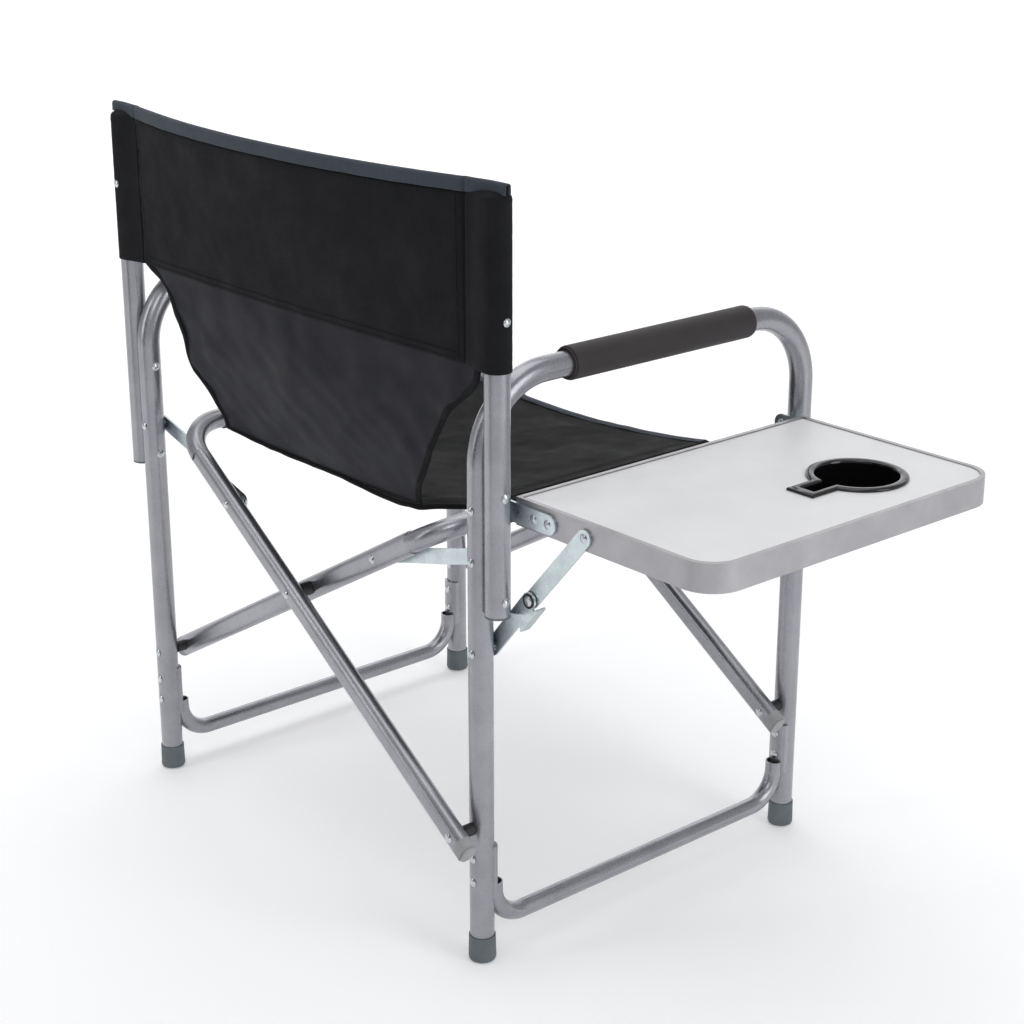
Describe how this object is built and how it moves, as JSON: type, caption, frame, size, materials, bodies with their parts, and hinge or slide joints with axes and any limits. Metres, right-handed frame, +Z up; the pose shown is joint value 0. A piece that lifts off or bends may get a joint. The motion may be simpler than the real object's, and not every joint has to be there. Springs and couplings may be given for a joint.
{
  "type": "folding director chair",
  "caption": "Folding steel-tube camping chair with armrests, fabric seat and back, and a fold-down side table with cup holder.",
  "frame": {"origin": "on the floor, under the middle of the open chair's box with its side table", "axes": "-Y is the chair's front, where a sitter looks; -X is the side table; +Z is up"},
  "size_m": [0.909, 0.5382, 0.798],
  "materials": {
    "tube_paint": "satin grey enamel",
    "zinc": "bright zinc plate",
    "rivet": "zinc plated rivet",
    "cap_plastic": "moulded grey plastic",
    "plug_plastic": "moulded light grey plastic",
    "bush_plastic": "moulded black plastic",
    "grip_foam": "closed cell foam",
    "laminate": "fine textured laminate",
    "table_alu": "satin edge profile",
    "cup_gloss": "gloss black",
    "band_fabric": "padded woven polyester",
    "panel_fabric": "coated woven polyester",
    "seat_fabric": "heavy woven polyester",
    "binding": "slate woven tape"
  },
  "bodies": {
    "right_frame": {"side_frame_right": "tube_paint", "stretcher_right": "tube_paint", "foot_caps_right": "cap_plastic", "grip_right": "grip_foam", "back_upright_right": "tube_paint", "upright_plugs_right": "cap_plastic", "frame_rivets_right": "rivet", "sleeve_screw_right": "rivet", "pivot_rivets_right": "rivet", "pivot_bushes_right": "bush_plastic", "link_leg_rivets_right": "rivet", "table_pivot_rivets": "rivet", "brace_leg_rivets": "rivet", "back_sleeve_right": "band_fabric", "back_panel": "band_fabric", "top_flap": "binding", "lower_back_panel": "panel_fabric"},
    "left_frame": {"side_frame_left": "tube_paint", "stretcher_left": "tube_paint", "foot_caps_left": "cap_plastic", "grip_left": "grip_foam", "back_upright_left": "tube_paint", "upright_plugs_left": "cap_plastic", "frame_rivets_left": "rivet", "sleeve_screw_left": "rivet", "pivot_rivets_left": "rivet", "pivot_bushes_left": "bush_plastic", "link_leg_rivets_left": "rivet", "back_sleeve_left": "band_fabric"},
    "cross_a": {"cross_frame_a": "tube_paint", "end_plugs_a": "plug_plastic", "crossing_rivets": "rivet", "crossing_bushes": "bush_plastic", "link_tube_rivets_a": "rivet", "seat_sleeve_left": "seat_fabric", "seat_panel": "seat_fabric"},
    "cross_b": {"cross_frame_b": "tube_paint", "end_plugs_b": "plug_plastic", "link_tube_rivets_b": "rivet", "seat_sleeve_right": "seat_fabric"},
    "links_left": {"link_left_rear": "zinc", "link_left_front": "zinc", "link_tail_rivets_left": "rivet"},
    "links_right": {"link_right_rear": "zinc", "link_right_front": "zinc", "link_tail_rivets_right": "rivet"},
    "table": {"table_edge": "table_alu", "table_rail": "table_alu", "table_top": "laminate", "cup_holder": "cup_gloss", "bracket_rear": "zinc", "bracket_front": "zinc", "table_rivets": "rivet", "brace_table_rivets": "rivet"},
    "brace_upper": {"brace_upper_bars": "zinc", "brace_elbow_rivets": "rivet"},
    "brace_lower": {"brace_lower_bars": "zinc", "brace_elbow_washers": "bush_plastic", "brace_foot_rivets": "rivet"}
  },
  "joints": [
    {"name": "fold", "type": "hinge", "parent": "right_frame", "child": "cross_a", "pos_m": [-0.1715, 0, 0.151], "axis": [0, -1, 0], "range_deg": [0, 41], "deforming": ["back_panel", "top_flap", "lower_back_panel", "seat_panel"]},
    {"name": "cross_turn", "type": "hinge", "parent": "cross_a", "child": "cross_b", "pos_m": [0.1205, 0, 0.31609], "axis": [0, -1, 0], "range_deg": [-82, 0]},
    {"name": "left_frame_turn", "type": "hinge", "parent": "cross_b", "child": "left_frame", "pos_m": [0.4125, 0, 0.151], "axis": [0, -1, 0], "range_deg": [0, 41]},
    {"name": "links_left_turn", "type": "hinge", "parent": "left_frame", "child": "links_left", "pos_m": [0.4125, 0, 0.433], "axis": [0, -1, 0], "range_deg": [-83.35, 0]},
    {"name": "links_right_turn", "type": "hinge", "parent": "right_frame", "child": "links_right", "pos_m": [-0.1715, 0, 0.433], "axis": [0, -1, 0], "range_deg": [0, 83.35]},
    {"name": "table_fold", "type": "hinge", "parent": "right_frame", "child": "table", "pos_m": [-0.1715, 0, 0.485], "axis": [0, -1, 0], "range_deg": [0, 75]},
    {"name": "brace_lower_turn", "type": "hinge", "parent": "brace_upper", "child": "brace_lower", "pos_m": [-0.2251, 0, 0.4034], "axis": [0, -1, 0], "range_deg": [0, 161.59]},
    {"name": "brace_upper_turn", "type": "hinge", "parent": "table", "child": "brace_upper", "pos_m": [-0.2965, 0, 0.485], "axis": [0, -1, 0], "range_deg": [-108, 0]}
  ],
  "couplings": [
    {"joint": "cross_turn", "follows": "fold", "ratio": -2},
    {"joint": "left_frame_turn", "follows": "fold", "ratio": 1},
    {"joint": "links_left_turn", "follows": "fold", "ratio": -2.033},
    {"joint": "links_right_turn", "follows": "fold", "ratio": 2.033},
    {"joint": "brace_lower_turn", "follows": "table_fold", "ratio": 2.1545},
    {"joint": "brace_upper_turn", "follows": "table_fold", "ratio": -1.44}
  ]
}
